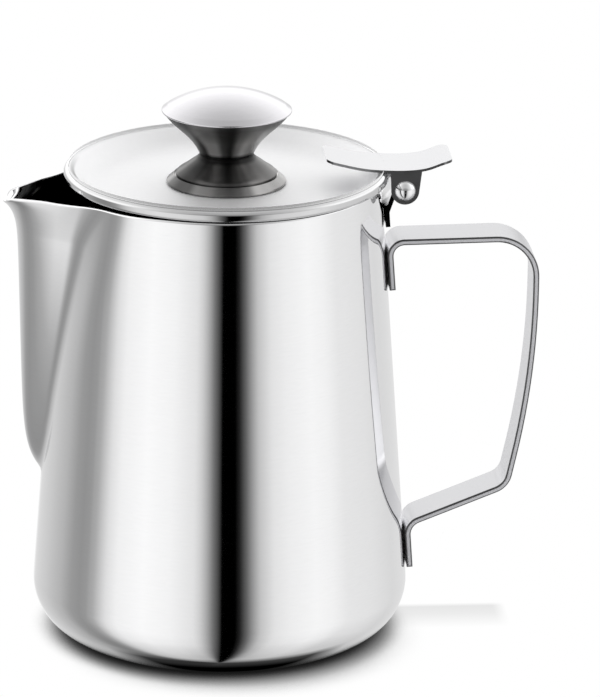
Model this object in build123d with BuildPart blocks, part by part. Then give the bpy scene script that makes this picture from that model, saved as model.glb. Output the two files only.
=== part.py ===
"""Hot milk jug with a hinged lid, in millimetres.

The jug stands on the plane z = 0 with its axis on +Z. The handle points to +X,
the spout to -X, and the lid turns about a pin that runs along Y above the handle.
"""
import os
from math import asin, atan2, comb, cos, exp, hypot, sin, tan

from build123d import *

os.makedirs("parts", exist_ok=True)

# Drawn body: a straight tapering wall with a generous corner at the foot.
height = 114.0
rim_radius = 38.6
foot_radius = 46.9
corner_radius = 12.4
wall = 0.7
recess_inset = 16.9
recess_depth = 1.2
recess_slope = 3.0
recess_corner = 2.0
trim_above = 6.0

# Pressed spout: a ridge that leaves the wall low down and ends in a flared lip.
spout_foot = 41.5
spout_ridge = 48.3
spout_lean = 0.02
spout_swell = 3.8
spout_foot_run = 5.0
spout_foot_half = 1.3
spout_opening = 20.0
spout_stations = 24
spout_skin = 0.6
spout_root_sink = 1.4
spout_above = 1.0
spout_root = 1.61
spout_edge_sink = 0.1
spout_edge = 1.0
spout_edge_growth = 0.05
spout_valley_out = 0.46
spout_valley = 0.915
spout_valley_growth = -0.5
spout_valley_lip = 0.17
spout_flank_out = 0.27
spout_flank = 0.28
spout_flank_growth = 0.31
spout_flank_lip = -1.06
lip_reach = 53.3
lip_drop = 4.6
lip_run = 2.7

# Rim: level round the jug, with a dip toward the spout and a fall over the lip.
dip_start = 15.4
dip_middle = 27.8
dip_middle_depth = 0.6
lip_dip = 2.0
neck_back = 8.5
neck_sag = 0.3
lip_back = 2.2
lip_rise = 1.5
lip_over = 2.0
lip_fall = 1.3

# Handle: one strip bent round the hand, both ends laid down on the wall.
strip_width = 12.6
strip_thick = 1.5
grip_reach = 77.2
handle_drop = 13.7
upper_tab_length = 13.6
lower_tab_low = 15.4
lower_bend = 26.0
lower_corner = 35.6
grip_break = 65.0
grip_lean = 6.4
top_fall = 0.7
upper_tab_bend = 4.2
grip_top_bend = 10.5
bow_share = 0.917
grip_foot_bend = 6.0
lower_tab_bend = 3.2
strip_edge = 0.6
weld_gap = 0.05

# Lid: a shallow dish inside a rolled rim, set a little toward the hinge.
lid_shift = 1.1
lid_lap = 0.8
lid_sheet = 0.8
lid_rest = 0.25
bead_height = 2.7
bead_width = 1.9
bead_round = 1.1
bead_curl = 1.0
panel_sink = 3.8
dish_run = 4.5
dish_bend = 6.0
crest_bend = 2.0

# Hinge: a pin with domed heads, held by the lever's two ears.
pin_out = 5.3
pin_drop = 1.65
pin_radius = 1.5
pin_run = 0.05
pin_grip = 0.02
pin_head_radius = 2.5
pin_head_height = 1.5
ear_thick = 1.0
ear_inner = 6.5
ear_side_gap = 0.3
ear_end_radius = 3.4
ear_top_width = 7.6
ear_top_out = 0.2
ear_bite = 0.4

# Bracket: a strap welded to the wall and rolled round the pin.
bracket_thick = 1.1
bracket_drop = 11.1
bracket_bend_drop = 7.2
bracket_bend_radius = 2.0

# Thumb lever: a saddle shaped strip fixed on the lid's rim.
lever_width = 15.4
lever_thick = 0.65
lever_tip_rise = 2.6
lever_tail_rise = 2.2
lever_tip = 19.1
lever_tail = 11.5
lever_seat_in = 4.7
lever_seat_out = 2.1
lever_tip_curl = ((0.33, 0.55), (0.67, 0.16))
lever_tail_curl = ((0.43, 0.32), (0.75, 0.82))
lever_corner = 2.4

# Knob: a stack of turned pieces clamped to the lid by one screw.
seat_gap = 0.1
collar_radius = 14.5
collar_height = 2.2
collar_round = 0.3
skirt_radius = 12.2
skirt_groove = 0.35
skirt_edge = 0.5
skirt_curve = ((0.27, 0.25), (0.67, 0.6), (0.91, 0.82))
collar_slope = 1.75
turned_edge = 0.15
waist_radius = 6.55
waist_above_panel = 7.25
rim_of_knob = 15.75
knob_rim_above_panel = 17.75
knob_rim_band = 0.45
knob_rim_edge = 0.2
shoulder_in = 1.4
shoulder_rise = 1.0
shoulder_round = 3.0
bell_curve = ((0.127, 0.2), (0.403, 0.48), (0.77, 0.77))
bell_lap = 0.35
dome_rise = 3.8
screw_radius = 2.0
screw_clear = 0.25
thread_fit = 0.05
screw_depth = 8.0
screw_end_gap = 0.8
screw_head_radius = 3.9
screw_head_height = 2.2
washer_radius = 6.0
washer_thick = 0.8

# Sizes that follow from the ones above.
taper = (foot_radius - rim_radius) / height
lean = atan2(foot_radius - rim_radius, height)
recess_radius = foot_radius - recess_inset
lip_height = height - lip_drop
lip_flare = lip_reach - spout_ridge - spout_lean * (lip_height - spout_foot)
handle_top = height - handle_drop
upper_tab_low = handle_top - upper_tab_length
upper_leg = handle_top - grip_break
lower_leg = hypot(grip_lean, grip_break - lower_corner)
bow_run = bow_share * min(upper_leg - grip_top_bend, lower_leg - grip_foot_bend)
grip_bow = bow_run / tan(atan2(grip_lean, grip_break - lower_corner) / 2)
lid_radius = rim_radius + lid_lap
lid_low = height + lid_rest
lid_top = lid_low + bead_height
panel_top = lid_top - panel_sink
panel_under = panel_top - lid_sheet
lid_mid = lid_radius - bead_width
waist_z = panel_top + waist_above_panel
knob_rim_z = panel_top + knob_rim_above_panel
pin_x = rim_radius + pin_out
pin_z = height - pin_drop
bracket_low = height - bracket_drop
bracket_bend = height - bracket_bend_drop
lever_flat = lid_top + weld_gap + lever_thick
collar_low = panel_top + seat_gap
collar_top = collar_low + collar_height
hole_radius = screw_radius + screw_clear
ear_outer = ear_inner + ear_thick
bracket_width = 2 * (ear_inner - ear_side_gap)
knuckle_radius = pin_radius + pin_run + bracket_thick
lid_axis = Axis((lid_shift, 0, 0), (0, 0, 1))
lid_plane = Plane((lid_shift, 0, 0), x_dir=(1, 0, 0), z_dir=(0, -1, 0))


def wall_radius(z):
    """Radius of the outside of the straight wall at a height."""
    return foot_radius - taper * z


def dome_height(radius, rise, at):
    """Height of a round dome above its edge, at a distance from its axis."""
    ball = (radius**2 + rise**2) / (2 * rise)
    return (ball**2 - at**2) ** 0.5 - ball + rise


def body_form(inset):
    """Adds the round body, moved inward by an inset, as one solid."""
    skin = inset / cos(lean)
    top = height + trim_above
    with BuildSketch(Plane.XZ) as half:
        with BuildLine():
            edge = FilletPolyline(
                (0, recess_depth + inset),
                (recess_radius - recess_slope, recess_depth + inset),
                (recess_radius, inset),
                (wall_radius(inset) - skin, inset),
                (wall_radius(top) - skin, top),
                radius=(recess_corner, recess_corner, corner_radius - inset),
            )
            Polyline(edge @ 1, (0, top), edge @ 0)
        make_face()
    revolve(half.sketch, axis=Axis.Z)


def spout_ridge_at(z):
    """Distance of the ridge from the axis, before the lip is pulled out."""
    foot_fall = spout_swell * exp(-(z - spout_foot) / spout_foot_run)
    return spout_ridge + spout_lean * (z - spout_foot) - foot_fall


def spout_section(z, inset):
    """Draws one level section of the spout, a rounded V that runs into the wall in a soft valley."""
    share = max(z - spout_foot, 0) / (height - spout_foot)
    lip = exp(min(z - lip_height, 0) / lip_run)
    flare = lip_flare * (lip + max(z - lip_height, 0) / lip_run)
    half = hypot(spout_opening * share, spout_foot_half) - spout_skin * inset
    ridge = spout_ridge_at(z) - inset
    chord = (wall_radius(z) ** 2 - half**2) ** 0.5 - inset
    reach = max(ridge - chord, spout_foot_half)
    chord = ridge - reach
    # Both ends lie just inside the wall, then the valley, the flank and the nose follow.
    inside = min(wall_radius(z) - inset, ridge - spout_foot_half)
    root_y = half * spout_root
    edge_y = half * (spout_edge + spout_edge_growth * share)
    root = (-(((inside - spout_root_sink) ** 2 - root_y**2) ** 0.5), root_y)
    edge = (-(((inside - spout_edge_sink) ** 2 - edge_y**2) ** 0.5), edge_y)
    valley_y = spout_valley + spout_valley_growth * share + spout_valley_lip * lip
    flank_y = spout_flank + spout_flank_growth * share + spout_flank_lip * lip
    valley = (-(chord + spout_valley_out * reach), half * valley_y)
    flank = (-(chord + spout_flank_out * reach), half * flank_y)
    side = [root, edge, valley, flank]
    # The middle point of the curve is set so that the curve touches the lip.
    steps = 2 * len(side)
    pull = 2 * sum(comb(steps, i) * point[0] for i, point in enumerate(side))
    nose = (-(2**steps) * (ridge + flare) - pull) / comb(steps, len(side))
    other = [(x, -y) for x, y in reversed(side)]
    with BuildSketch(Plane.XY.offset(z)) as section:
        with BuildLine():
            Bezier(*side, (nose, 0), *other)
            Line(other[-1], root)
        make_face()
    return section.sketch


def spout_form(inset):
    """Adds the spout, moved inward by an inset, as one smooth solid."""
    low = spout_foot - spout_foot_half
    step = (height + spout_above - low) / spout_stations
    loft([spout_section(low + step * i, inset) for i in range(spout_stations + 1)])


def rim_cut():
    """Removes everything above the rim, which dips toward the lip."""
    far = foot_radius + trim_above
    past_lip = -lip_reach - 2 * trim_above
    over_all = height + 3 * trim_above
    with BuildSketch(Plane.XZ) as above:
        with BuildLine():
            dip = Spline(
                (-lip_reach - lip_over, lip_height - lip_fall),
                (-lip_reach, lip_height),
                (-lip_reach + lip_back, lip_height + lip_rise),
                (-lip_reach + neck_back, height - lip_dip - neck_sag),
                (-rim_radius, height - lip_dip),
                (-dip_middle, height - dip_middle_depth),
                (-dip_start, height),
                tangents=((lip_over, lip_fall), (1, 0)),
            )
            Polyline(
                dip @ 1,
                (far, height),
                (far, over_all),
                (past_lip, over_all),
                (past_lip, lip_height - lip_fall),
                dip @ 0,
            )
        make_face()
    extrude(above.sketch, amount=foot_radius, both=True, mode=Mode.SUBTRACT)


# The hollow of the jug is the same two forms, one wall smaller.
with BuildPart() as round_hollow:
    body_form(wall)

with BuildPart() as spout_hollow:
    spout_form(wall)

with BuildPart() as jug_body:
    body_form(0)
    spout_form(0)
    add(round_hollow.part, mode=Mode.SUBTRACT)
    add(spout_hollow.part, mode=Mode.SUBTRACT)
    rim_cut()

# The handle follows one line: up the wall, out, down the grip, back in and down the wall.
with BuildPart() as handle:
    wall_side = wall_radius(upper_tab_low) + weld_gap
    lower_face = strip_thick + weld_gap
    with BuildSketch(Plane.XZ):
        with BuildLine():
            FilletPolyline(
                (wall_side, upper_tab_low),
                (wall_radius(handle_top) + weld_gap, handle_top - top_fall),
                (grip_reach, handle_top),
                (grip_reach, grip_break),
                (grip_reach - grip_lean, lower_corner),
                (wall_radius(lower_bend) + lower_face, lower_bend),
                (wall_radius(lower_tab_low) + lower_face, lower_tab_low),
                radius=(upper_tab_bend, grip_top_bend, grip_bow, grip_foot_bend, lower_tab_bend),
            )
            offset(amount=strip_thick, side=Side.RIGHT)
        make_face()
    extrude(amount=strip_width / 2, both=True)
    sides = handle.faces().sort_by(Axis.Y)
    fillet(sides[0].edges() + sides[-1].edges(), strip_edge)

# The strap lies on the wall, leans out and closes round the pin.
with BuildPart() as hinge_bracket:
    strap_x = wall_radius(bracket_bend) + weld_gap
    to_pin = (pin_x - strap_x, pin_z - bracket_bend)
    reach = hypot(*to_pin)
    run = (reach**2 - knuckle_radius**2) ** 0.5
    rise = atan2(to_pin[1], to_pin[0]) + asin(knuckle_radius / reach)
    with BuildSketch(Plane.XZ):
        with BuildLine():
            FilletPolyline(
                (wall_radius(bracket_low) + weld_gap, bracket_low),
                (strap_x, bracket_bend),
                (strap_x + run * cos(rise), bracket_bend + run * sin(rise)),
                radius=bracket_bend_radius,
            )
            offset(amount=bracket_thick, side=Side.RIGHT)
        make_face()
        with Locations((pin_x, pin_z)):
            Circle(knuckle_radius)
            Circle(pin_radius + pin_run, mode=Mode.SUBTRACT)
    extrude(amount=bracket_width / 2, both=True)

with BuildPart() as lid:
    with BuildSketch(lid_plane):
        with BuildLine():
            FilletPolyline(
                (hole_radius, panel_top),
                (lid_mid - dish_run, panel_top),
                (lid_mid, lid_top),
                (lid_radius, lid_top),
                (lid_radius, lid_low),
                (lid_radius - bead_curl, lid_low),
                radius=(dish_bend, crest_bend, bead_round, 0.95 * bead_curl),
            )
            offset(amount=lid_sheet, side=Side.RIGHT)
        make_face()
    revolve(axis=lid_axis)


def lever_line(drop):
    """Points along the saddle of the lever, lowered by a drop."""
    low = lever_flat - drop
    tip_run = lever_tip - lever_seat_in
    tail_run = lever_tail - lever_seat_out
    tip_curl = [
        (pin_x - lever_tip + tip_run * along, low + lever_tip_rise * up)
        for along, up in lever_tip_curl
    ]
    tail_curl = [
        (pin_x + lever_seat_out + tail_run * along, low + lever_tail_rise * up)
        for along, up in lever_tail_curl
    ]
    return [
        (pin_x - lever_tip, low + lever_tip_rise),
        *tip_curl,
        (pin_x - lever_seat_in, low),
        (pin_x + lever_seat_out, low),
        *tail_curl,
        (pin_x + lever_tail, low + lever_tail_rise),
    ]


with BuildPart() as thumb_lever:
    with BuildSketch(Plane.XZ):
        with BuildLine():
            top_line = Spline(*lever_line(0))
            under_line = Spline(*lever_line(lever_thick))
            Line(top_line @ 0, under_line @ 0)
            Line(top_line @ 1, under_line @ 1)
        make_face()
    extrude(amount=lever_width / 2, both=True)
    fillet(thumb_lever.edges().filter_by(Axis.Z), lever_corner)
    for start in (ear_inner, -ear_outer):
        with BuildSketch(Plane.XZ.offset(start)):
            with Locations((pin_x, pin_z)):
                Circle(ear_end_radius)
            with Locations((pin_x + ear_top_out, lever_flat - lever_thick + ear_bite / 2)):
                Rectangle(ear_top_width, ear_bite)
            make_hull()
            with Locations((pin_x, pin_z)):
                Circle(pin_radius + pin_grip, mode=Mode.SUBTRACT)
        extrude(amount=ear_thick)

with BuildPart() as hinge_pin:
    head_base = ear_outer + weld_gap
    head_top = head_base + pin_head_height
    head_mid = 0.7 * pin_head_radius
    head_mid_top = head_base + dome_height(pin_head_radius, pin_head_height, head_mid)
    with BuildSketch(Plane.XY.offset(pin_z)):
        with BuildLine():
            near = ThreePointArc(
                (pin_x, -head_top),
                (pin_x + head_mid, -head_mid_top),
                (pin_x + pin_head_radius, -head_base),
            )
            far_arc = ThreePointArc(
                (pin_x, head_top),
                (pin_x + head_mid, head_mid_top),
                (pin_x + pin_head_radius, head_base),
            )
            Polyline(
                near @ 1,
                (pin_x + pin_radius, -head_base),
                (pin_x + pin_radius, head_base),
                far_arc @ 1,
            )
            Line(far_arc @ 0, near @ 0)
        make_face()
    revolve(axis=Axis((pin_x, 0, pin_z), (0, 1, 0)))

with BuildPart() as knob_collar:
    with BuildSketch(lid_plane):
        with BuildLine():
            FilletPolyline(
                (hole_radius, collar_low),
                (collar_radius, collar_low),
                (collar_radius, collar_top - collar_slope),
                (skirt_radius + skirt_groove, collar_top),
                (skirt_radius + skirt_groove, collar_top - skirt_groove),
                (hole_radius, collar_top - skirt_groove),
                (hole_radius, collar_low),
                radius=(0, turned_edge, collar_round, turned_edge, 0, 0),
            )
        make_face()
    revolve(axis=lid_axis)

with BuildPart() as knob_skirt:
    skirt_low = collar_top - skirt_groove + seat_gap
    flare_low = skirt_low + skirt_edge
    flare_wide = skirt_radius - waist_radius
    flare_tall = waist_z - flare_low
    with BuildSketch(lid_plane):
        with BuildLine():
            flare = Spline(
                (skirt_radius, flare_low),
                *[
                    (skirt_radius - flare_wide * across, flare_low + flare_tall * up)
                    for across, up in skirt_curve
                ],
                (waist_radius, waist_z),
                tangents=((-0.7, 1), (-0.3, 1)),
            )
            Polyline(
                flare @ 1,
                (hole_radius, waist_z),
                (hole_radius, skirt_low),
                (skirt_radius, skirt_low),
                flare @ 0,
            )
        make_face()
    revolve(axis=lid_axis)

with BuildPart() as knob_bell:
    bell_low = waist_z + seat_gap
    bell_tall = knob_rim_z - bell_low
    bell_wide = rim_of_knob - bell_lap - waist_radius
    bore_top = bell_low + screw_depth
    with BuildSketch(lid_plane):
        with BuildLine():
            horn = Spline(
                (waist_radius, bell_low),
                *[
                    (waist_radius + bell_wide * across, bell_low + bell_tall * up)
                    for across, up in bell_curve
                ],
                (waist_radius + bell_wide, bell_low + bell_tall),
                tangents=((0.43, 1), (0.75, 1)),
            )
            Polyline(
                horn @ 1,
                (0, knob_rim_z),
                (0, bore_top),
                (screw_radius + thread_fit, bore_top),
                (screw_radius + thread_fit, bell_low),
                horn @ 0,
            )
        make_face()
    revolve(axis=lid_axis)

with BuildPart() as knob_cap:
    cap_low = knob_rim_z + weld_gap
    band_top = cap_low + knob_rim_band
    dome_low = band_top + shoulder_rise
    dome_radius = rim_of_knob - shoulder_in
    with BuildSketch(lid_plane) as cap_half:
        with BuildLine():
            dome = ThreePointArc(
                (dome_radius, dome_low),
                (dome_radius / 2, dome_low + dome_height(dome_radius, dome_rise, dome_radius / 2)),
                (0, dome_low + dome_rise),
            )
            Polyline(
                dome @ 1,
                (0, cap_low),
                (rim_of_knob, cap_low),
                (rim_of_knob, band_top),
                dome @ 0,
            )
        make_face()
        shoulder = cap_half.vertices().filter_by_position(Axis.X, dome_radius - 0.1, dome_radius + 0.1)
        fillet(shoulder, shoulder_round)
        fillet(cap_half.vertices().group_by(Axis.X)[-1], knob_rim_edge)
    revolve(axis=lid_axis)

# The screw comes up from under the lid and pulls the whole knob down on the panel.
with BuildPart() as knob_washer:
    with BuildSketch(Plane.XY.offset(panel_under - seat_gap)):
        with Locations((lid_shift, 0)):
            Circle(washer_radius)
            Circle(hole_radius, mode=Mode.SUBTRACT)
    extrude(amount=-washer_thick)

with BuildPart() as knob_screw:
    head_high = panel_under - 2 * seat_gap - washer_thick
    with BuildSketch(Plane.XY.offset(head_high)):
        with Locations((lid_shift, 0)):
            Circle(screw_head_radius)
    extrude(amount=-screw_head_height)
    fillet(knob_screw.edges().group_by(Axis.Z)[0], 0.55 * screw_head_height)
    with BuildSketch(Plane.XY.offset(head_high)):
        with Locations((lid_shift, 0)):
            Circle(screw_radius)
    extrude(amount=bore_top - screw_end_gap - head_high)

jug_body.part.label = "jug_body"
export_step(jug_body.part, "parts/jug_body.step")
handle.part.label = "handle"
export_step(handle.part, "parts/handle.step")
hinge_bracket.part.label = "hinge_bracket"
export_step(hinge_bracket.part, "parts/hinge_bracket.step")
lid.part.label = "lid"
export_step(lid.part, "parts/lid.step")
thumb_lever.part.label = "thumb_lever"
export_step(thumb_lever.part, "parts/thumb_lever.step")
hinge_pin.part.label = "hinge_pin"
export_step(hinge_pin.part, "parts/hinge_pin.step")
knob_collar.part.label = "knob_collar"
export_step(knob_collar.part, "parts/knob_collar.step")
knob_skirt.part.label = "knob_skirt"
export_step(knob_skirt.part, "parts/knob_skirt.step")
knob_bell.part.label = "knob_bell"
export_step(knob_bell.part, "parts/knob_bell.step")
knob_cap.part.label = "knob_cap"
export_step(knob_cap.part, "parts/knob_cap.step")
knob_washer.part.label = "knob_washer"
export_step(knob_washer.part, "parts/knob_washer.step")
knob_screw.part.label = "knob_screw"
export_step(knob_screw.part, "parts/knob_screw.step")
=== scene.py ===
"""Looks for the hot milk jug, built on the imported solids, in metres."""
from math import cos, pi, radians, sin

import bmesh
import bpy
import numpy as np
from mathutils import Matrix, Vector


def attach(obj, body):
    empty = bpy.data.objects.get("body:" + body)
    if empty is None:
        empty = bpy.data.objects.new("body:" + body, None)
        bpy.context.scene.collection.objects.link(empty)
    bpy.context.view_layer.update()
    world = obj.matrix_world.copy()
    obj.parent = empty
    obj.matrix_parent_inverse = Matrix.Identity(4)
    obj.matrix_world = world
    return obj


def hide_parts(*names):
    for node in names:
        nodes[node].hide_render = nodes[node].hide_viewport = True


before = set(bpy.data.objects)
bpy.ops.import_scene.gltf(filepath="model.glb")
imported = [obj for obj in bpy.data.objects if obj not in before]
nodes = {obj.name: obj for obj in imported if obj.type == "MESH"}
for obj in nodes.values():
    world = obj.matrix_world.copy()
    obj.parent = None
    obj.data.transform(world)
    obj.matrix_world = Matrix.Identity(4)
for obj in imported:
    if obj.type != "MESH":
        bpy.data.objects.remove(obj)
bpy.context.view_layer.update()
scene = bpy.context.scene
scene.view_settings.view_transform = "Standard"

MM = 0.001

# Camera: the photograph's own viewing angle, worked out from the round outlines.
PICTURE = (600, 697)
FOCAL_PX = 6060.9
SENSOR = 36
FAR_CLIP = 20
DISTANCE = 1.4839
ELEVATION = 0.31614
AZIMUTH = radians(-4)
ROLL = 0.00576
AIM = Vector((0, 0, 0.05935))
AIM_PX = (220.65, 392.94)


def make_camera():
    turn = Matrix.Rotation(AZIMUTH, 3, "Z")
    eye = AIM + DISTANCE * (turn @ Vector((0, -cos(ELEVATION), sin(ELEVATION))))
    ahead = (AIM - eye).normalized()
    right = turn @ Vector((1, 0, 0))
    up = right.cross(ahead)
    # The aim is beside the picture's middle, so the camera looks along the ray through the middle.
    dx, dy = PICTURE[0] / 2 - AIM_PX[0], PICTURE[1] / 2 - AIM_PX[1]
    across = dx * cos(ROLL) + dy * sin(ROLL)
    down = -dx * sin(ROLL) + dy * cos(ROLL)
    look = (ahead + right * across / FOCAL_PX - up * down / FOCAL_PX).normalized()
    side = look.cross(up).normalized()
    top = side.cross(look)
    side, top = side * cos(ROLL) + top * sin(ROLL), top * cos(ROLL) - side * sin(ROLL)
    data = bpy.data.cameras.new("camera")
    data.sensor_width = SENSOR
    data.lens = FOCAL_PX * SENSOR / PICTURE[1]
    data.clip_end = FAR_CLIP
    camera = bpy.data.objects.new("camera", data)
    basis = Matrix((side, top, -look)).transposed().to_4x4()
    camera.matrix_world = Matrix.Translation(eye) @ basis
    scene.collection.objects.link(camera)
    scene.camera = camera


def tree_of(owner):
    owner.use_nodes = True
    tree = owner.node_tree
    tree.nodes.clear()
    return tree


def feed(tree, socket, value):
    """Links another socket to this one, or sets its value."""
    if isinstance(value, bpy.types.NodeSocket):
        tree.links.new(value, socket)
    else:
        socket.default_value = value


def put(tree, kind, **values):
    """Adds a node; a value whose name starts with in_ is set on or linked to that input."""
    node = tree.nodes.new(kind)
    for name, value in values.items():
        if not name.startswith("in_"):
            setattr(node, name, value)
    for name, value in values.items():
        if name.startswith("in_"):
            key = name[3:]
            feed(tree, node.inputs[int(key) if key.isdigit() else key.replace("_", " ")], value)
    return node


def maths(tree, operation, *values):
    node = put(tree, "ShaderNodeMath", operation=operation)
    for socket, value in zip(node.inputs, values):
        feed(tree, socket, value)
    return node.outputs[0]


def ramp(tree, fac, stops, mode="LINEAR"):
    node = put(tree, "ShaderNodeValToRGB", in_Fac=fac)
    node.color_ramp.interpolation = mode
    items = node.color_ramp.elements
    while len(items) < len(stops):
        items.new(1.0)
    for item, (place, tone) in zip(items, stops):
        item.position = place
        item.color = (*tone, 1) if isinstance(tone, tuple) else (tone, tone, tone, 1)
    return node.outputs["Color"]


def blend(tree, share, low, high, mode="MIX"):
    node = put(tree, "ShaderNodeMix", data_type="RGBA", blend_type=mode,
               in_0=share, in_6=low, in_7=high)
    return node.outputs[2]


def times(tree, one, other):
    return blend(tree, 1.0, one, other, "MULTIPLY")


def span(tree, value, low, high, to_low=0.0, to_high=1.0):
    node = put(tree, "ShaderNodeMapRange", in_0=value, in_1=low, in_2=high,
               in_3=to_low, in_4=to_high)
    return node.outputs[0]


def parts_of(tree, vector):
    return put(tree, "ShaderNodeSeparateXYZ", in_Vector=vector).outputs


def vectors(tree, operation, one, other):
    return put(tree, "ShaderNodeVectorMath", operation=operation, in_0=one, in_1=other).outputs


def open_share(tree, reach, samples, **values):
    """The share of open space within reach above the surface."""
    node = put(tree, "ShaderNodeAmbientOcclusion", samples=samples, in_Distance=reach, **values)
    return node.outputs["AO"]


# The light tent round the jug: bright cloth on both sides, a dark slot by the camera
# and a grey corner on the left. Each entry is a direction in degrees and a level.
TENT = (
    (-180, 1.0), (-166, 0.74), (-140, 0.62), (-120, 0.48), (-108, 0.335), (-100, 0.30),
    (-94, 0.325), (-88, 0.42), (-83, 0.60), (-78, 0.78), (-70, 0.93), (-52, 1.02),
    (-35, 0.96), (-20, 0.81), (-16, 0.66), (-12, 0.43), (-8, 0.17), (-3, 0.0),
    (6, 0.0), (9, 0.02), (13, 0.14), (17, 0.35), (21, 0.57), (30, 0.81),
    (40, 0.90), (58, 0.98), (70, 0.94), (82, 0.84), (105, 0.80), (130, 0.72),
    (166, 0.78), (180, 1.0),
)
# Levels by height, from straight down at 0 to straight up at 1: the table's shade on the
# tent's walls, the back cloth with a softer ceiling over it, and the change between the two.
WALL_LEVELS = ((0.0, 0.5), (0.06, 0.7), (0.18, 0.92), (0.32, 1.0))
CEILING_LEVELS = ((0.5, 1.08), (0.58, 1.3), (0.68, 1.4), (0.8, 1.2), (0.91, 0.9), (1.0, 0.6))
CEILING_SHARE = ((0.49, 0.0), (0.58, 1.0))
# The ceiling's grey hood, by how far a direction points to the front.
HOOD_LEVELS = ((0.15, 1.0), (0.5, 0.62), (0.8, 0.42), (0.95, 0.2))
WHITE = (1, 1, 1, 1)


def make_world():
    world = bpy.data.worlds.new("studio")
    scene.world = world
    tree = tree_of(world)
    x, y, z = parts_of(tree, put(tree, "ShaderNodeTexCoord").outputs["Generated"])
    front = maths(tree, "MULTIPLY", y, -1.0)
    share = maths(tree, "MULTIPLY_ADD", maths(tree, "ARCTAN2", x, front), 0.5 / pi, 0.5)
    tent = ramp(tree, share, [(a / 360 + 0.5, v) for a, v in TENT])
    height = maths(tree, "MULTIPLY_ADD", z, 0.5, 0.5)
    walls = times(tree, tent, ramp(tree, height, WALL_LEVELS))
    ceiling = times(tree, ramp(tree, height, CEILING_LEVELS), ramp(tree, front, HOOD_LEVELS))
    room = blend(tree, ramp(tree, height, CEILING_SHARE), walls, ceiling)
    seen = put(tree, "ShaderNodeLightPath").outputs["Is Camera Ray"]
    shown = blend(tree, seen, room, WHITE)
    back = put(tree, "ShaderNodeBackground", in_Color=shown, in_Strength=1.0)
    put(tree, "ShaderNodeOutputWorld", in_Surface=back.outputs[0])


# The floor glows with a painted shade, by the share of open space over it. The shade leans as if
# the light came a little from behind, so it is deeper in front of the foot.
FLOOR_HALF = 3.0
CLOTH = (0.8, 0.8, 0.8, 1)
SHADE_SAMPLES = 24
SHADE_LEAN, SHADE_REACH = (-0.2, 0.65, 0.73), 0.022
SHADE_TONES = ((0.15, 0.42), (0.27, 0.44), (0.33, 0.5), (0.39, 0.65), (0.45, 0.82), (0.51, 0.94),
               (0.57, 0.985), (0.62, 1.0))
FOOT_REACH = 0.012
FOOT_TONES = ((0.1, 0.02), (0.2, 0.12), (0.28, 0.31), (0.36, 0.52), (0.44, 0.76), (0.52, 0.94),
              (0.58, 1.0))
# The handle's painted shadow beside the foot: where it lies, how it fades there, and its tone.
GRIP_X, GRIP_X_FADE = (0.04, 0.08), ((0.0, 0.0), (0.1, 1.0), (0.72, 1.0), (0.8, 0.0))
GRIP_Y, GRIP_Y_FADE = (-0.016, 0.024), ((0.2, 0.0), (0.45, 0.8), (0.58, 1.0), (0.64, 0.0))
GRIP_SHADOW_TONE = 0.8
# What the steel sees of the tent through the floor, under painted shade: little close to the foot
# and, in front of it, nothing within a ring, which sets in and is full at the two values of y.
SEEN_BY_FOOT = ((0.12, 0.05), (0.2, 0.2), (0.3, 0.7), (0.42, 1.0))
RING, SEEN_BY_RING = (0.04, 0.05), ((0.05, 0.0), (0.35, 0.12), (0.57, 1.0))
RING_FRONT = (-0.03, -0.037)


def make_floor():
    mesh = bpy.data.meshes.new("floor")
    side = FLOOR_HALF
    corners = [(-side, -side, 0), (side, -side, 0), (side, side, 0), (-side, side, 0)]
    mesh.from_pydata(corners, [], [(0, 1, 2, 3)])
    floor = bpy.data.objects.new("floor", mesh)
    scene.collection.objects.link(floor)
    material = bpy.data.materials.new("pale_floor")
    tree = tree_of(material)
    path = put(tree, "ShaderNodeLightPath")
    lean = put(tree, "ShaderNodeCombineXYZ",
               in_X=SHADE_LEAN[0], in_Y=SHADE_LEAN[1], in_Z=SHADE_LEAN[2]).outputs[0]
    near = open_share(tree, SHADE_REACH, SHADE_SAMPLES, in_Normal=lean)
    under = open_share(tree, FOOT_REACH, SHADE_SAMPLES)
    # The floor's painted shade, from the share of open space over each place.
    tone = times(tree, ramp(tree, near, SHADE_TONES), ramp(tree, under, FOOT_TONES))
    x, y, _ = parts_of(tree, put(tree, "ShaderNodeTexCoord").outputs["Object"])
    # A painted shadow of the handle on the floor.
    grip_shadow = times(tree, ramp(tree, span(tree, x, *GRIP_X), GRIP_X_FADE),
                 ramp(tree, span(tree, y, *GRIP_Y), GRIP_Y_FADE))
    tone = times(tree, tone, ramp(tree, grip_shadow, ((0.0, 1.0), (1.0, GRIP_SHADOW_TONE))))
    glow = put(tree, "ShaderNodeEmission", in_Color=tone, in_Strength=1.0)
    cloth = put(tree, "ShaderNodeBsdfDiffuse", in_Color=CLOTH)
    squares = maths(tree, "ADD", maths(tree, "MULTIPLY", x, x), maths(tree, "MULTIPLY", y, y))
    # Painted shade in what the steel mirrors of the floor, by the foot and in a ring in front.
    beyond = ramp(tree, span(tree, maths(tree, "SQRT", squares), *RING), SEEN_BY_RING)
    mirror_shade = ramp(tree, under, SEEN_BY_FOOT)
    mirror_shade = blend(tree, span(tree, y, *RING_FRONT), mirror_shade, beyond, "MULTIPLY")
    mirrored = put(tree, "ShaderNodeBsdfTransparent", in_Color=mirror_shade)
    lit = put(tree, "ShaderNodeMixShader", in_0=path.outputs["Is Glossy Ray"],
              in_1=cloth.outputs[0], in_2=mirrored.outputs[0])
    both = put(tree, "ShaderNodeMixShader", in_0=path.outputs["Is Camera Ray"],
               in_1=lit.outputs[0], in_2=glow.outputs[0])
    put(tree, "ShaderNodeOutputMaterial", in_Surface=both.outputs[0])
    mesh.materials.append(material)


# The lid and the knob stand this far toward the handle, in millimetres.
LID_SHIFT = 1.1
LID_CENTRE = LID_SHIFT * MM
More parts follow.
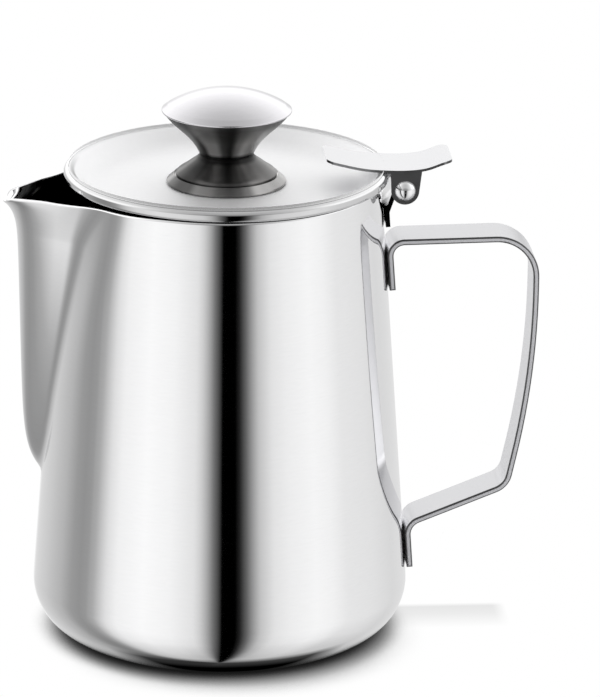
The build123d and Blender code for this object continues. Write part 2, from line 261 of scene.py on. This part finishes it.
# The satin panel ends over PANEL_FADE. A painted shade line round it lies between two radii and
# is drawn on the lid's front half only, fading out between two values of y.
PANEL_FADE = 0.0008
CREST_RADII = (0.036, 0.039)
CREST_SHADE_TONES = ((0.2, 1.0), (0.35, 0.42), (0.66, 0.42), (0.82, 0.74))
CREST_SHADE_FRONT = (0.012, -0.006)
# The height in millimetres at which the knob's grading (black joint, painted shade) starts, and its
# range.
KNOB_LOW, KNOB_RANGE = 113, 20
# Fine marks along the grain mix with a soft cloud, and lower the tone by up to MARK_DEPTH.
MARK_SHARE, CLOUD_SHARE, CLOUD_SCALE = 0.6, 0.4, 45.0
MARK_DEPTH = 0.03
BUMP_HEIGHT = 0.0001
CORNER_SAMPLES = 16
FLATTEN = (1, 1, 0)


def steel(name, tone, rough, spread, grain, depth, corner=None, panel=None, edges=None,
          turned=None):
    """A steel with fine marks along the grain.

    tone, rough and spread set the colour and sheen, grain and depth the marks. Where given:
    panel is a satin disc (centre, radius, added roughness), with a painted shade line round it;
    corner paints shade into narrow places (reach, tone, the open shares at which the darkening is
        full and at which it ends, and whether only the piece itself counts);
    turned paints highlights and reflections by the angle round the knob, and a black joint and
        painted shade by the height in millimetres;
    edges paints shade on a strip (tone of the line along its cut sides, tone of these sides,
        their added roughness, and tone of the faces that look up).
    """
    material = bpy.data.materials.new(name)
    tree = tree_of(material)
    places = put(tree, "ShaderNodeTexCoord")
    place = places.outputs["Object"]
    fine = put(tree, "ShaderNodeMapping", in_Vector=place, in_Scale=grain)
    marks = put(tree, "ShaderNodeTexNoise", in_Vector=fine.outputs[0], in_Scale=1.0, in_Detail=4.0,
                in_Roughness=0.6).outputs["Fac"]
    cloud = put(tree, "ShaderNodeTexNoise", in_Vector=place, in_Scale=CLOUD_SCALE,
                in_Detail=3.0).outputs["Fac"]
    mixed = maths(tree, "MULTIPLY_ADD", marks, MARK_SHARE,
                  maths(tree, "MULTIPLY", cloud, CLOUD_SHARE))
    low = tuple(max(c - MARK_DEPTH, 0) for c in tone)
    colour = ramp(tree, mixed, [(0.3, low), (0.7, tone)])
    sheen = span(tree, mixed, 0.25, 0.75, rough - spread, rough + spread)
    if panel:
        centre, radius, dull = panel
        level = vectors(tree, "MULTIPLY", place, FLATTEN)[0]
        out = vectors(tree, "DISTANCE", level, centre)["Value"]
        share = span(tree, out, radius, radius - PANEL_FADE)
        sheen = maths(tree, "MULTIPLY_ADD", share, dull, sheen)
        # A painted shade line round the panel, on the lid's front half only.
        reach = vectors(tree, "DISTANCE", level, (LID_CENTRE, 0, 0))["Value"]
        line = ramp(tree, span(tree, reach, *CREST_RADII), CREST_SHADE_TONES)
        front = span(tree, parts_of(tree, place)["Y"], *CREST_SHADE_FRONT)
        colour = blend(tree, front, colour, line, "MULTIPLY")
    if corner:
        # Painted shade in narrow places, by their share of open space.
        reach, deep, full, end, alone = corner
        clear = open_share(tree, reach, CORNER_SAMPLES, only_local=alone)
        colour = times(tree, colour, ramp(tree, clear, ((full, deep), (end, 1.0))))
    if turned:
        streaks, heights = turned
        x, y, z = parts_of(tree, place)
        about = maths(tree, "ARCTAN2", maths(tree, "SUBTRACT", x, LID_CENTRE),
                      maths(tree, "ABSOLUTE", y))
        # Painted highlights and reflections as streaks by the angle round the knob.
        painted_streak = ramp(tree, maths(tree, "MULTIPLY_ADD", about, 1 / pi, 0.5),
                      [(a / 180 + 0.5, v) for a, v in streaks], "EASE")
        up = span(tree, z, KNOB_LOW * MM, (KNOB_LOW + KNOB_RANGE) * MM)
        # A black joint and painted shade, by height.
        joint_and_shade = ramp(tree, up, [((h - KNOB_LOW) / KNOB_RANGE, v) for h, v in heights])
        colour = times(tree, times(tree, colour, painted_streak), joint_and_shade)
    if edges:
        line, flat_side, dull, top = edges
        # Painted shade: dark lines along the cut sides, and a darker tone on the faces that look up.
        facing = parts_of(tree, places.outputs["Normal"])
        side = maths(tree, "ABSOLUTE", facing["Y"])
        cut = ramp(tree, side, ((0.2, 1.0), (0.45, line), (0.9, line), (0.98, flat_side)))
        top_shade = ramp(tree, facing["Z"], ((0.45, 1.0), (0.8, top)))
        colour = times(tree, times(tree, colour, top_shade), cut)
        sheen = maths(tree, "MULTIPLY_ADD", span(tree, side, 0.9, 0.98), dull, sheen)
    bump = put(tree, "ShaderNodeBump", in_Height=marks, in_Strength=depth, in_Distance=BUMP_HEIGHT)
    skin = put(tree, "ShaderNodeBsdfPrincipled", in_Base_Color=colour, in_Metallic=1.0,
               in_Roughness=sheen, in_Normal=bump.outputs[0])
    put(tree, "ShaderNodeOutputMaterial", in_Surface=skin.outputs[0])
    return material


def sheet_object(name, places, rows, closed, weld=0.0):
    """A smooth object from rows of places round the axis, given in millimetres."""
    count = len(places) // rows
    faces = []
    for j in range(rows if closed else rows - 1):
        n = (j + 1) % rows
        for i in range(count):
            k = (i + 1) % count
            faces.append((j * count + i, j * count + k, n * count + k, n * count + i))
    mesh = bpy.data.meshes.new(name)
    mesh.from_pydata((np.array(places) * MM).tolist(), [], faces)
    shape = bmesh.new()
    shape.from_mesh(mesh)
    if weld:
        bmesh.ops.remove_doubles(shape, verts=shape.verts, dist=weld)
    bmesh.ops.recalc_face_normals(shape, faces=shape.faces)
    shape.to_mesh(mesh)
    shape.free()
    mesh.shade_smooth()
    sheet = bpy.data.objects.new(name, mesh)
    scene.collection.objects.link(sheet)
    return sheet


# The body as one pressed sheet, in millimetres and degrees and on the solid's own sizes. The
# spout's sides run into the wall in a soft hollow, which the solid has as a plain line.
FOOT, RIM, TALL, SHEET = 46.9, 38.6, 114.0, 0.7
CORNER, RECESS, RECESS_RUN, RECESS_RISE = 12.4, 30.0, 3.0, 1.2
SPOUT_FOOT, RIDGE, RIDGE_LEAN, SWELL, SWELL_RUN = 41.5, 48.3, 0.02, 3.8, 5.0
LIP_REACH, LIP_HEIGHT, LIP_RUN, LIP_HALF = 53.3, 109.4, 2.7, 7.2
RIM_POINTS = ((-55.3, 108.1), (-53.3, 109.4), (-51.1, 110.9), (-44.8, 111.7), (-38.6, 112.0),
              (-27.8, 113.4), (-15.4, 114.0), (-5.0, 114.0))
PAST_BODY = 60
# The spout's side: how far it is followed, and in how many steps. Pairs are a value at the
# spout's foot and what is added up to the rim: the direction in which the side settles, the
# run over which it turns there from the ridge, the run of its hollow, and the softness of
# the bend into the wall.
SIDE_RUN, SIDE_STEPS = 34, 340
SETTLED, NOSE_RUN, HOLLOW_RUN, BEND_SOFT = (46, 12), (0.5, 3.0), (6.4, 10), (0.96, 0.37)
# The hollow's depth, the shares of the spout's height at which it starts and over which it
# grows, and the power by which it sets in.
HOLLOW, HOLLOW_FROM, HOLLOW_GROWS, HOLLOW_POWER = 16.4, 0.19, 0.65, 0.55
# The valley beside the spout: its depth, half width and first share of height, and its angle
# from the ridge at one level with the turn for each millimetre below.
VALLEY_SINK, VALLEY_HALF, VALLEY_FROM = 1.49, 8.1, 0.29
VALLEY_ANGLE, VALLEY_LEVEL, VALLEY_TURN = 32.5, 111.4, 0.487
# Steps of the mesh: angles from the ridge, levels with a spout, radii of the base, heights.
ANGLE_STEPS = ((0, 6, 0.3), (6, 42, 0.6), (42, 180, 2.0))
PLAIN_BELOW, LEVELS_END, LEVEL_STEP = 34, 118, 0.25
BASE_RADII = (0, 10, 20, 26, 27, 27.6, 28.2, 28.8, 29.4, 30, 31, 32.4)
BASE_FLAT_ROWS, CORNER_STEPS = 9, 14
PLAIN_HEIGHTS = (20, 27, PLAIN_BELOW)
HEIGHT_STEPS = ((36, 52, 1.0), (52, 104, 1.6), (104, 114, 0.6))
# Levels follow the rim's dip from DIP_FROM up. The rim is rounded over its last RIM_FALL, by
# rows at a share of the sheet's thickness and a depth below the top.
DIP_FROM, RIM_FALL, RIM_PASSES, RIM_CURVE_STEPS = 60, 0.3, 12, 20
RIM_ROWS = ((0.15, 0.09), (0.5, 0.0), (0.85, 0.09))
WELD = 1e-7


def limited(value):
    return min(max(value, 0), 1)


def wall_at(z):
    return FOOT - (FOOT - RIM) / TALL * z


def rim_heights():
    """The rim's height along the jug, as a smooth line through the points above."""
    pts = np.array(RIM_POINTS)
    xs, zs = [], []
    for k in range(1, len(pts) - 2):
        a, b, c, d = pts[k - 1], pts[k], pts[k + 1], pts[k + 2]
        for t in np.linspace(0, 1, RIM_CURVE_STEPS, endpoint=False):
            m = 0.5 * (2 * b + (c - a) * t + (2 * a - 5 * b + 4 * c - d) * t**2
                       + (3 * b - a - 3 * c + d) * t**3)
            xs.append(m[0])
            zs.append(m[1])
    return [pts[0][0], *xs, pts[-2][0], PAST_BODY], [pts[0][1], *zs, TALL, TALL]


def level_section(z, angles):
    """Distance of the sheet from the axis at one level, by the angle from the ridge."""
    up = limited((z - SPOUT_FOOT) / (TALL - SPOUT_FOOT))
    settled, nose, hollow_run, soft = (
        low + more * up for low, more in (SETTLED, NOSE_RUN, HOLLOW_RUN, BEND_SOFT))
    ridge = RIDGE + RIDGE_LEAN * (z - SPOUT_FOOT)
    ridge -= SWELL * np.exp(-(z - SPOUT_FOOT) / SWELL_RUN)
    flare = LIP_REACH - RIDGE - RIDGE_LEAN * (LIP_HEIGHT - SPOUT_FOOT)
    flare *= np.exp(min(z - LIP_HEIGHT, 0) / LIP_RUN) + max(z - LIP_HEIGHT, 0) / LIP_RUN
    # The side turns off the ridge, more slowly higher up, and is hollowed there.
    along = np.linspace(0, SIDE_RUN, SIDE_STEPS + 1)
    hollow = HOLLOW * limited((up - HOLLOW_FROM) / HOLLOW_GROWS)
    facing = settled + (90 - settled) * np.exp(-along / nose)
    facing -= hollow * np.minimum(along / hollow_run, 1) ** HOLLOW_POWER
    facing = np.radians(facing)
    step = along[1]
    out = ridge - np.cumsum(np.cos(facing)) * step
    side = np.cumsum(np.sin(facing)) * step
    out, side = np.insert(out, 0, ridge), np.insert(side, 0, 0.0)
    out = out + flare * np.exp(-((side / LIP_HALF) ** 2))
    pressed = np.interp(angles, np.arctan2(side, out), np.hypot(side, out), right=0.0)
    # Pressing the spout draws the wall in a little where the two meet.
    valley = radians(VALLEY_ANGLE - VALLEY_TURN * (VALLEY_LEVEL - z))
    drawn_in = VALLEY_SINK * max(up - VALLEY_FROM, 0)
    wall = wall_at(z)
    wall = wall - drawn_in * np.exp(-(((angles - valley) * wall / VALLEY_HALF) ** 2))
    over = pressed - wall
    round_in = (over + soft) ** 2 / (4 * soft)
    return wall + np.where(over > soft, over, np.where(over < -soft, 0.0, round_in))


def grid_normals(grid):
    across = np.roll(grid, -1, 1) - np.roll(grid, 1, 1)
    along = np.gradient(grid, axis=0)
    normal = np.cross(across, along)
    size = np.linalg.norm(normal, axis=2, keepdims=True)
    return normal / np.maximum(size, 1e-12)


def base_rows():
    """Radius and height of the rows across the recess of the base and round its corner."""
    rows = []
    for r in BASE_RADII:
        share = limited((r - RECESS + RECESS_RUN) / RECESS_RUN)
        rows.append((r, RECESS_RISE * (1 - share * share * (3 - 2 * share))))
    lean = np.arctan2(FOOT - RIM, TALL)
    centre = FOOT - CORNER * (1 + sin(lean)) / cos(lean)
    for t in np.linspace(-pi / 2, lean, CORNER_STEPS):
        rows.append((centre + CORNER * cos(t), CORNER + CORNER * sin(t)))
    return rows


def make_body():
    half = np.radians(np.concatenate([np.arange(*steps) for steps in ANGLE_STEPS]))
    angles = np.concatenate([half, [pi], -half[:0:-1]])
    ways = np.stack([-np.cos(angles), -np.sin(angles)], 1)
    levels = np.arange(PLAIN_BELOW, LEVELS_END, LEVEL_STEP)
    table = np.stack([level_section(z, np.abs(angles)) for z in levels])
    rim_x, rim_z = rim_heights()
    top = np.full(len(angles), TALL)
    for _ in range(RIM_PASSES):
        reach = np.array([np.interp(z, levels, table[:, i]) for i, z in enumerate(top)])
        top = 0.5 * top + 0.5 * np.interp(reach * ways[:, 0], rim_x, rim_z)
    base = np.array([np.column_stack([ways * r, np.full(len(angles), z)]) for r, z in base_rows()])
    heights = np.concatenate([PLAIN_HEIGHTS, *(np.arange(*s) for s in HEIGHT_STEPS), [TALL]])
    walls = []
    for height in heights:
        z = height - (TALL - top + RIM_FALL) * limited((height - DIP_FROM) / (TALL - DIP_FROM))
        reach = np.array([np.interp(v, levels, table[:, i]) if v > PLAIN_BELOW else wall_at(v)
                          for i, v in enumerate(z)])
        walls.append(np.column_stack([ways * reach[:, None], z]))
    skin = np.concatenate([base, np.array(walls)])
    normal = grid_normals(skin)
    normal[:BASE_FLAT_ROWS] = (0, 0, -1)
    inner = skin - SHEET * normal
    edge = []
    for share, fall in RIM_ROWS:
        line = skin[-1] * (1 - share) + inner[-1] * share
        line[:, 2] = top - fall
        edge.append(line)
    sheet = np.concatenate([skin, np.array(edge), inner[::-1]])
    body = sheet_object("jug_sheet", sheet.reshape(-1, 3), len(sheet), False, WELD)
    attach(body, "jug")
    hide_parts("jug_body")
    return body


# The lid's upper line as radius and height, its bends, and its sheet, in millimetres.
LID_LINE = ((2.25, 113.15), (33.0, 113.15), (37.5, 116.95), (39.4, 116.95), (39.4, 114.25),
            (38.4, 114.25))
LID_BENDS, LID_SHEET = (6.0, 2.0, 1.1, 0.95), 0.8
BEND_STEPS, BEFORE_BEND, AFTER_BEND, LID_TURN = 14, 0.15, 0.05, 1.25


def rounded(points, radii):
    """A line through the points with round bends, and its outward directions."""
    points = [np.array(p, float) for p in points]
    line = [points[0]]
    for before, here, after, radius in zip(points, points[1:], points[2:], radii):
        a, b = here - before, after - here
        a, b = a / np.linalg.norm(a), b / np.linalg.norm(b)
        turn = np.arctan2(a[0] * b[1] - a[1] * b[0], a @ b)
        start = here - a * radius * np.tan(abs(turn) / 2)
        side = np.array([-a[1], a[0]]) * np.sign(turn)
        line += [line[-1] * 0.5 + start * 0.5, start - a * BEFORE_BEND]
        for t in np.linspace(0, abs(turn), BEND_STEPS):
            line.append(start + radius * (a * np.sin(t) + side * (1 - np.cos(t))))
        line.append(line[-1] + b * AFTER_BEND)
    line.append(points[-1])
    line = np.array(line)
    run = np.gradient(line, axis=0)
    run /= np.linalg.norm(run, axis=1, keepdims=True)
    return line, np.stack([-run[:, 1], run[:, 0]], 1)


def make_lid():
    """The lid as one turned sheet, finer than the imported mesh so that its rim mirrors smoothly."""
    line, out = rounded(LID_LINE, LID_BENDS)
    loop = np.concatenate([line, (line - LID_SHEET * out)[::-1]])
    around = np.radians(np.arange(0, 360, LID_TURN))
    places = [(LID_SHIFT + r * cos(a), r * sin(a), z) for r, z in loop for a in around]
    lid = sheet_object("lid_sheet", places, len(loop), True)
    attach(lid, "lid_group")
    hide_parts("lid")
    return lid


def dress(material, *names):
    for name in names:
        mesh = nodes[name].data
        mesh.materials.clear()
        mesh.materials.append(material)


# Tones, grains and the other settings of the steels, as steel() takes them.
PALE, BRIGHT = (0.95, 0.95, 0.955), (0.97, 0.97, 0.975)
STRIP, LEVER = (0.9, 0.9, 0.92), (0.9, 0.9, 0.915)
TURNED, BELL = (0.6, 0.59, 0.58), (0.98, 0.97, 0.96)
RIDGED, CAP = (0.85, 0.84, 0.83), (0.72, 0.71, 0.73)
DRAWN_GRAIN, EVEN_GRAIN, STRIP_GRAIN = (300, 300, 2500), (600, 600, 600), (300, 3000, 300)
TURNED_GRAIN, RIDGED_GRAIN, CAP_GRAIN = (300, 300, 6000), (900, 900, 4000), (400, 400, 4000)
# Painted shade: the inside of the jug, and narrow gaps within two millimetres, darkened by their
# share of open space.
INSIDE_SHADE = (0.12, 0.12, 0.42, 0.6, True)
TIGHT_SHADE = (0.002, 0.05, 0.0, 0.4, False)
PANEL = ((LID_CENTRE, 0.0012, 0), 0.0382, 0.55)
# Painted shade on the handle and lever: dark lines along their cut sides, the lever's dark flat
# sides, and darker upward faces.
STRIP_EDGE_SHADE, LEVER_EDGE_SHADE = (0.12, 1.0, 0.5, 0.6), (0.1, 0.35, 0.1, 0.66)
# Painted highlights and reflections: light and dark streaks round the knob by angle, where 0 is
# the front and 90 the handle's side, and the far side has the same.
PAINTED_STREAKS = (
    (-90, 0.5), (-76, 0.14), (-60, 0.09), (-46, 0.12), (-34, 0.3), (-22, 0.32), (-10, 0.2),
    (0, 0.15), (9, 0.18), (18, 0.3), (28, 0.62), (40, 0.5), (55, 0.38), (72, 0.4), (90, 0.7),
)
BELL_PAINTED_STREAKS = (
    (-90, 0.4), (-69, 0.05), (-48, 0.08), (-33, 0.95), (-21, 0.95), (-9, 0.25), (2, 0.11),
    (13, 0.6), (25, 1.0), (38, 0.7), (54, 0.4), (72, 0.4), (90, 0.6),
)
# The joint at the waist is black, and the bell has painted shade under the cap.
BELL_JOINT_AND_SHADE = (
    (120.0, 0.05), (120.9, 0.07), (121.8, 1.0), (125.0, 1.0), (127.0, 0.6), (129.4, 0.2),
)
# The skirt grows darker toward its top and is black at the waist joint.
SKIRT_HEIGHTS = ((115.5, 0.75), (117.5, 0.5), (119.0, 0.42), (119.6, 0.1), (120.4, 0.05))
EVEN_HEIGHTS = ((113, 1.0), (133, 1.0))

make_camera()
make_world()
make_floor()
drawn = steel("drawn_steel", PALE, 0.05, 0.02, DRAWN_GRAIN, 0.02, corner=INSIDE_SHADE)
polished = steel("polished_steel", PALE, 0.06, 0.02, DRAWN_GRAIN, 0.02, corner=TIGHT_SHADE)
lid_steel = steel("lid_steel", BRIGHT, 0.07, 0.02, EVEN_GRAIN, 0.02, panel=PANEL)
satin = steel("satin_strip", STRIP, 0.32, 0.04, STRIP_GRAIN, 0.05, edges=STRIP_EDGE_SHADE)
lever = steel("lever_steel", LEVER, 0.2, 0.04, STRIP_GRAIN, 0.05, edges=LEVER_EDGE_SHADE)
dark = steel("turned_steel", TURNED, 0.34, 0.05, TURNED_GRAIN, 0.1, corner=TIGHT_SHADE,
             turned=(PAINTED_STREAKS, SKIRT_HEIGHTS))
bell = steel("bell_steel", BELL, 0.4, 0.05, TURNED_GRAIN, 0.1, turned=(BELL_PAINTED_STREAKS, BELL_JOINT_AND_SHADE))
ring = steel("ring_steel", RIDGED, 0.3, 0.06, RIDGED_GRAIN, 0.3, corner=TIGHT_SHADE,
             turned=(PAINTED_STREAKS, EVEN_HEIGHTS))
cap = steel("cap_steel", CAP, 0.07, 0.03, CAP_GRAIN, 0.03)
make_body().data.materials.append(drawn)
dress(polished, "hinge_pin", "hinge_bracket")
make_lid().data.materials.append(lid_steel)
dress(satin, "handle")
dress(lever, "thumb_lever")
dress(dark, "knob_skirt", "knob_washer", "knob_screw")
dress(bell, "knob_bell")
dress(ring, "knob_collar")
dress(cap, "knob_cap")
